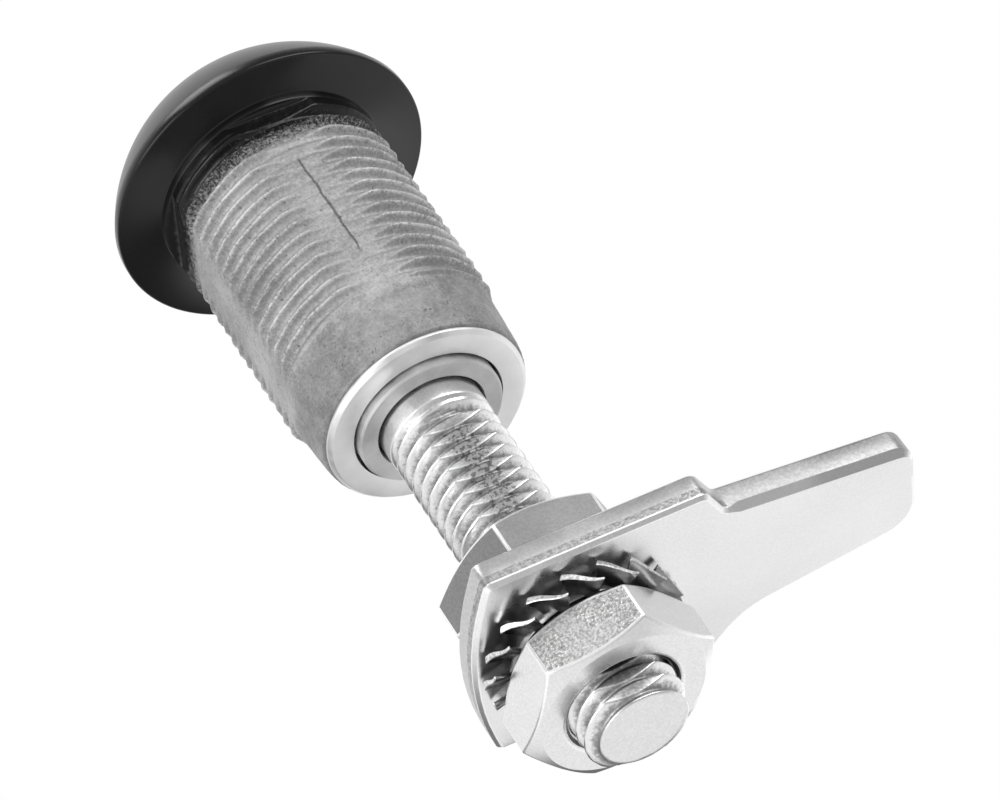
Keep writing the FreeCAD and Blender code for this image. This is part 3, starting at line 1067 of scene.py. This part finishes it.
@dataclass
class Cam:
    """The stamped plate with its wide hub, step and tapering finger."""

    low_y: float = 56.8
    thickness: float = 3.0
    roll: float = 0.45
    torn_depth: float = 1.25
    arris: float = 0.34
    finger_bevel: float = 0.7
    finger_x: Point = (-32.1, -14.3)
    blend_x: Point = (1.5, 1.3)
    hole_radius: float = 5.04
    hole_flat: float = 4.13
    corners: tuple[Place, ...] = (
        (7.9, 10.65, 0.8), (-12.4, 10.65, 1.2), (-14.1, 7.72, 1.0), (-31.9, 5.6, 1.8), (-32.35, -3.7, 3.2),
        (-15.6, -6.0, 6.7), (-11.1, -10.65, 2.0), (7.9, -10.65, 0.8), (10.85, 0.0, 32.0),
    )
    finishes: tuple[PlatedSteel, ...] = (
        PlatedSteel("plated_plate", 0.84, 0.3, 0.03, 0.03),
        PlatedSteel("sheared_edge", 0.58, 0.36, 0.05, 0.08, 3400, 0.000008),
        PlatedSteel("torn_edge", 0.4, 0.36, 0.05, 0.3, 3400, 0.00003),
        # Brighter arris plating: partly rubbed wear, partly painted highlight.
        PlatedSteel("rubbed_and_highlight_plate_edge", 0.95, 0.35, 0.02, 0.05),
        PlatedSteel("finger_edge", 0.42, 0.4, 0.05, 0.14, 3400, 0.000012),
    )

    def outline(self) -> list[Point]:
        """The plate's outline, anticlockwise in x and z, with its long sides divided.

        Returns:
            The outline's points.
        """
        points = rounded(self.corners, 9)
        dense: list[Point] = []
        for (ax, az), (bx, bz) in zip(points, points[1:] + points[:1]):
            count = max(1, round(math.hypot(bx - ax, bz - az) / 0.9))
            dense += [(ax + (bx - ax) * k / count, az + (bz - az) * k / count) for k in range(count)]
        if sum(a[0] * b[1] - b[0] * a[1] for a, b in zip(dense, dense[1:] + dense[:1])) < 0:
            dense.reverse()
        return dense

    def hole(self) -> list[Point]:
        """The double-D hole's outline."""
        circle = [polar(self.hole_radius, 360 * k / 96, 0) for k in range(96)]
        return [(p.x, max(-self.hole_flat, min(self.hole_flat, p.z))) for p in circle]

    def inward(self, points: Sequence[Point], reach: Sequence[float]) -> list[Point]:
        """Moves an outline inwards.

        Args:
            points: The closed outline.
            reach: The distance for each point.

        Returns:
            The moved outline.
        """
        moved = []
        for i, (point, distance) in enumerate(zip(points, reach)):
            before, after = points[i - 1], points[(i + 1) % len(points)]
            along = Vector((after[0] - before[0], after[1] - before[1])).normalized()
            moved.append((point[0] - along.y * distance, point[1] + along.x * distance))
        return moved

    def top_break(self, point: Point) -> float:
        """Width of the break along the upper edge of the side that faces the stud's end.

        Args:
            point: A point of the outline.

        Returns:
            The width, which grows smoothly along the finger's upper side.
        """
        x, z = point
        if z < 3:
            return self.arris
        share = max(0.0, min(1.0, (x - self.finger_x[0]) / self.blend_x[0], (self.finger_x[1] - x) / self.blend_x[1]))
        return self.arris + share * share * (3 - 2 * share) * (self.finger_bevel - self.arris)

    def build(self) -> None:
        """Makes the plate with its rolled, sheared and bevelled edges."""
        bm = bmesh.new()
        outer = self.outline()
        breaks = [self.top_break(point) for point in outer]
        high = self.low_y + self.thickness
        # Each level is an inset and a depth below the top, both as a length plus a share of the break's width
        levels = [(self.roll * inset, 0, self.thickness - self.roll * rise, 0) for rise, inset in quarter(4)]
        levels += [(0, 0, self.torn_depth, 0), (0, 0, 0, 1.5), (0, 0.01, 0, 1), (0, 0.92, 0, 0.08), (0, 1.25, 0, 0)]
        rings = []
        for inset, inset_share, depth, depth_share in levels:
            ring = self.inward(outer, [inset + inset_share * width for width in breaks])
            heights = [high - depth - depth_share * width for width in breaks]
            rings.append([bm.verts.new((x, y, z)) for y, (x, z) in zip(heights, ring)])
        # On an ordinary edge rows 6 to 8 take material 3, the brighter arris: partly rubbed wear, partly painted
        # highlight.
        for row, k, face in skin(bm, rings):
            if breaks[k] > self.arris:
                face.material_index = 4 if 2 < row < 7 else 0
            elif row > 2:
                face.material_index = {3: 1, 4: 1, 5: 2}.get(row, 3)
        bore = [[bm.verts.new((x, y, z)) for x, z in self.hole()] for y in (self.low_y, high)]
        skin(bm, bore)
        for pair in ((rings[0], bore[0]), (rings[-1], bore[1])):
            edges = [bm.edges.get((a, b)) for loop in pair for a, b in zip(loop, loop[1:] + loop[:1])]
            bmesh.ops.triangle_fill(bm, edges=edges, use_beauty=True)
        clean(bm)
        obj = make_object("stamped_plate", bm, 28)
        Piece(Body.STUD, Slot.CAM, ("cam",)).settle(obj, *(finish.build() for finish in self.finishes))


@dataclass
class LockWasher:
    """The toothed washer: a flat ring and seventeen twisted teeth."""

    low_y: float = 59.8
    sheet: float = 0.62
    thin_edge: float = 0.26
    hook: float = 0.32
    across_steps: int = 6
    along_steps: int = 6
    inner: float = 5.25
    ring_radius: float = 7.0
    tip_radius: float = 9.0
    overlap: float = 0.45
    root_width: float = 2.1
    tip_width: float = 3.6
    twist: float = 40.0
    tall: float = 2.833
    count: int = 17
    # A dark copy of the nut plating: painted shade.
    finish: PlatedSteel = PlatedSteel("shaded_plated_washer", 0.3, 0.24)
    # Brighter plating on the teeth's tips: partly rubbed wear, partly painted highlight.
    rubbed_and_highlight: PlatedSteel = PlatedSteel("rubbed_and_highlight_tooth", 0.78, 0.36, 0.1, 0.3)

    def tooth(self, middle: float) -> Object:
        """Makes one tooth, twisted about the radial line along +Z.

        Args:
            middle: Place of its middle along the axis.

        Returns:
            The object.
        """
        bm = bmesh.new()
        rings = []
        root = self.ring_radius - self.overlap
        across = [-1 + 2 * k / self.across_steps for k in range(self.across_steps + 1)]
        for share in (k / self.along_steps for k in range(self.along_steps + 1)):
            radius = root + (self.tip_radius - root) * share
            width = self.root_width + (self.tip_width - self.root_width) * share
            turn = Matrix.Rotation(-math.radians(self.twist) * min(1.0, 0.55 + 1.8 * share), 2)
            ring = []
            for side, up in [(c, -1) for c in across] + [(c, 1) for c in reversed(across)]:
                thick = self.thin_edge + (self.sheet - self.thin_edge) * (1 + side) / 2
                x, y = turn @ Vector((side * width / 2, up * thick / 2 + self.hook * share * side ** 3))
                ring.append(bm.verts.new((x, y, radius)))
            rings.append(ring)
        skin(bm, rings)
        bm.faces.new(rings[0])
        bm.faces.new(rings[-1])
        clean(bm)
        obj = bevel(make_object("tooth", bm, 40), 0.07, 2, 50)
        obj.data.transform(Matrix.Translation((0, middle * MM, 0)))
        return obj

    def build(self, tree: GeometryTree) -> None:
        """Makes the ring, repeats the tooth round it and joins them.

        Args:
            tree: The tree that repeats a piece.
        """
        middle = self.low_y + self.tall / 2
        low, high = middle - self.sheet / 2, middle + self.sheet / 2
        square = ((self.inner, low), (self.ring_radius, low), (self.ring_radius, high), (self.inner, high))
        ring = make_object("washer_ring", lathe(rounded([(*corner, 0.1) for corner in square], 2), 136), 40)
        plating = self.finish.build()
        teeth = tree.run(self.tooth(middle), {"count": self.count, "Material": plating})
        bm = bmesh.new()
        for part in (ring, teeth):
            bm.from_mesh(part.data)
            bpy.data.objects.remove(part)
        obj = mesh_object("toothed_washer", bm)
        # Faces at the teeth's tips take material 1, the brighter plating: partly rubbed wear, partly painted
        # highlight.
        for polygon in obj.data.polygons:
            at_tip = math.hypot(polygon.center.x, polygon.center.z) > (self.tip_radius - 0.1) * MM
            polygon.material_index = int(at_tip)
        Piece(Body.STUD, Slot.WASHER, ("lock_washer",)).settle(obj, plating, self.rubbed_and_highlight.build())


@dataclass
class ReturnSpring:
    """The compression spring inside the driver."""

    low_y: float = 0.5
    high_y: float = 19.0
    mean_radius: float = 4.2
    wire: float = 0.5
    turns: float = 7.0
    travel: float = 5.0
    finish: PlatedSteel = PlatedSteel("drawn_wire", 0.5, 0.3)

    def build(self, tree: GeometryTree) -> None:
        """Makes the coil at its full length; the real spring shortens as the stud is drawn in.

        Args:
            tree: The tree that coils a wire.
        """
        long = self.high_y - self.low_y
        obj = tree.run(link("coil_spring", bpy.data.meshes.new("coil_spring")), {
            "turns": self.turns, "radius": self.mean_radius * MM, "height": (long - 2 * self.wire) * MM,
            "wire": self.wire * MM, "base": (self.low_y + self.wire) * MM, "Material": self.finish.build(),
        })
        Piece(Body.DRIVER, Slot.SPRING, ("return_spring",)).settle(obj)
        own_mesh(obj)


@dataclass
class InsideParts:
    """The finishes of the nodes whose plain solids stay, under the nodes' names."""

    sleeve: TurnedSteel = TurnedSteel("sleeve_disc", 0.6, 0.62, 0.2, 0.000002, 0.2)
    driver: DarkMoulding = DarkMoulding("driver_black")
    driver_seal: DarkMoulding = DarkMoulding("rubber_seal", 0.02, 0.7)
    cross_pin: PlatedSteel = PlatedSteel("ground_pin", 0.7, 0.15)

    def dress(self, nodes: dict[str, Object]) -> None:
        """Gives each solid its material.

        Args:
            nodes: The solids by name.
        """
        for node in fields(self):
            materials = nodes[node.name].data.materials
            materials.clear()
            materials.append(getattr(self, node.name).build())
            LOG.info("%s: dressed", node.name)


# Studio


@dataclass(frozen=True)
class Lamp:
    """A soft square light that looks at the latch."""

    name: str
    place: Place
    size: float
    power: float

    def build(self, target: Vector) -> None:
        """Hangs the lamp.

        Args:
            target: What it looks at, in metres.
        """
        light = bpy.data.lights.new(self.name, "AREA")
        light.shape, light.size, light.energy = "SQUARE", self.size, self.power
        obj = link(self.name, light)
        obj.location = self.place
        obj.rotation_euler = (target - Vector(self.place)).to_track_quat("-Z", "Y").to_euler()


class Rays(Tree):
    """A tree of the floor or the world, where each kind of ray may see something else."""

    def __init__(self, owner: Material | bpy.types.World) -> None:
        """Empties the owner's tree.

        Args:
            owner: The material or world.
        """
        owner.use_nodes = True
        super().__init__(owner.node_tree)
        self.tree.nodes.clear()
        self.paths = self.node("ShaderNodeLightPath").outputs
        self.seen = self.most(self.ray("Camera"), self.ray("Transmission"))

    def ray(self, kind: str) -> Value:
        """1 for rays of this kind, and 0 for the others."""
        return Value(self, self.paths[f"Is {kind} Ray"])

    def mix(self, share: Number, a: Value, b: Value) -> Value:
        """A shader between a, which a share of 0 gives, and b, which 1 gives."""
        return self.out("ShaderNodeMixShader", {0: share, 1: a, 2: b})

    def white(self, kind: str, strength: Number) -> Value:
        """White light of this strength, from an Emission or a Background node."""
        return self.out(f"ShaderNode{kind}", {"Color": WHITE, "Strength": strength})


@dataclass
class Studio:
    """The camera, the soft lights, the pale floor and the white surround."""

    camera_place: Place = (106.9, 289.6, 310.5)
    camera_right: Place = (-0.890, 0.452, -0.049)
    camera_up: Place = (-0.365, -0.648, 0.668)
    lens: float = 174.4
    floor_z: float = -0.075
    floor_size: float = 6
    floor_tone: float = 0.8
    floor_white: float = 0.93
    floor_mirrored: float = 0.9
    dark_band: tuple[float, float, float, float] = (0.02, 0.045, 0.076, 0.096)
    dark: float = 0.05
    light_side: Point = (-0.042, -0.034)
    light: float = 1.4
    soft_sky: float = 0.45
    horizon_z: float = 0.1
    horizon: Point = (0.95, 0.0)
    above: Point = (0.35, 0.75)
    sides: Point = (0.55, 1.0)
    target: Place = (-0.003, 0.030, 0.0)
    lamps: tuple[Lamp, ...] = (
        Lamp("key", (-0.45, -0.10, 0.62), 0.6, 4.2),
        Lamp("fill", (0.62, 0.25, 0.35), 0.5, 3.5),
        Lamp("back", (0.15, -0.60, 0.35), 0.4, 2.0),
    )

    def camera(self) -> None:
        """Sets the camera where the photograph was taken from."""
        right = Vector(self.camera_right).normalized()
        up = Vector(self.camera_up)
        up = (up - right * up.dot(right)).normalized()
        data = bpy.data.cameras.new("camera")
        data.lens, data.sensor_width = self.lens, 36
        data.clip_start, data.clip_end = 0.01, 20
        obj = link("camera", data)
        turn = Matrix((right, up, right.cross(up))).transposed().to_4x4()
        obj.matrix_world = Matrix.Translation(Vector(self.camera_place) * MM) @ turn
        bpy.context.scene.camera = obj

    def floor(self) -> None:
        """Lays the pale floor, white to the camera, with the latch's soft shadow and a dark band in reflections."""
        bm = bmesh.new()
        bmesh.ops.create_grid(bm, x_segments=1, y_segments=1, size=self.floor_size)
        obj = mesh_object("floor", bm)
        obj.location = (0, 0, self.floor_z)
        material = bpy.data.materials.new("floor_white")
        s = Rays(material)
        matt = s.out("ShaderNodeBsdfDiffuse", {"Color": grey(self.floor_tone)})
        shown = s.mix(s.seen * self.floor_white, matt, s.white("Emission", 1.0))
        aside, along, _ = s.split(s.out("ShaderNodeTexCoord", pick="Object"))
        first, second, third, last = self.dark_band
        band = s.most(s.ramp(along, first, second, (1.0, self.dark)), s.ramp(along, third, last, (self.dark, 1.0)))
        span = s.ramp(along, first, second) * s.ramp(along, third, last, (1, 0))
        beside = s.ramp(aside, *self.light_side, (self.light, 0.0)) * span
        card = s.white("Emission", s.most(band, beside))
        s.node("ShaderNodeOutputMaterial", {0: s.mix(s.ray("Glossy") * self.floor_mirrored, shown, card)})
        obj.data.materials.append(material)

    def world(self) -> None:
        """Surrounds the latch with white for the camera, and with a softer sky for the metal."""
        world = bpy.data.worlds.new("studio")
        bpy.context.scene.world = world
        s = Rays(world)
        x, y, z = s.split(s.out("ShaderNodeTexCoord", pick="Generated"))
        horizon = s.ramp(abs(z - self.horizon_z), 0.1, 0.5, self.horizon)
        above = s.ramp(z, 0.3, 1.0, self.above)
        side = s.ramp(x + y * 0.4, -0.8, 0.8, self.sides)
        sky = s.white("Background", s.most(horizon, above) * side)
        lit = s.mix(s.ray("Glossy"), s.white("Background", self.soft_sky), sky)
        s.node("ShaderNodeOutputWorld", {0: s.mix(s.seen, lit, s.white("Background", 1.0))})

    def build(self) -> None:
        """Sets up the studio."""
        bpy.context.scene.view_settings.view_transform = "Standard"
        self.camera()
        self.floor()
        self.world()
        for lamp in self.lamps:
            lamp.build(Vector(self.target))


def main() -> None:
    """Builds the latch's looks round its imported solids."""
    logging.basicConfig(level=logging.INFO, format="%(name)s %(message)s")
    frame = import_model()
    Studio().build()
    thread = thread_tree()
    Housing().build(thread)
    EndRing().build()
    InsideParts().dress(frame["nodes"])
    ReturnSpring().build(coil_tree())
    Stud().build(thread)
    plating = PlatedSteel("plated_nut", 0.82, 0.28, 0.03, 0.05).build()
    rough = PlatedSteel("rough_facet", 0.66, 0.25, 0.08, 0.4, 4200, 0.000032).build()
    # Brighter plating for the nuts' rounded edges: partly rubbed wear, partly painted highlight.
    rubbed_and_highlight = PlatedSteel("rubbed_and_highlight_edge", 0.95, 0.35, 0.02, 0.05).build()
    # The back nut takes a darker copy of the nut plating: painted shade.
    darker_zinc = PlatedSteel("shaded_plated_nut", 0.27, 0.34, 0.04, 0.1).build()
    # The nuts' bores and mouths are darker: painted shade.
    bore = PlatedSteel("shaded_bore", 0.12, 0.4, 0.04, 0.1).build()
    Nut("back_nut", 51.2, 23.5).build(darker_zinc, darker_zinc, rubbed_and_highlight, bore)
    Cam().build()
    LockWasher().build(ring_tree())
    Nut("front_nut", 62.333, 43.5, rough_facet=5).build(plating, rough, rubbed_and_highlight, bore)


if __name__ == "__main__":
    main()
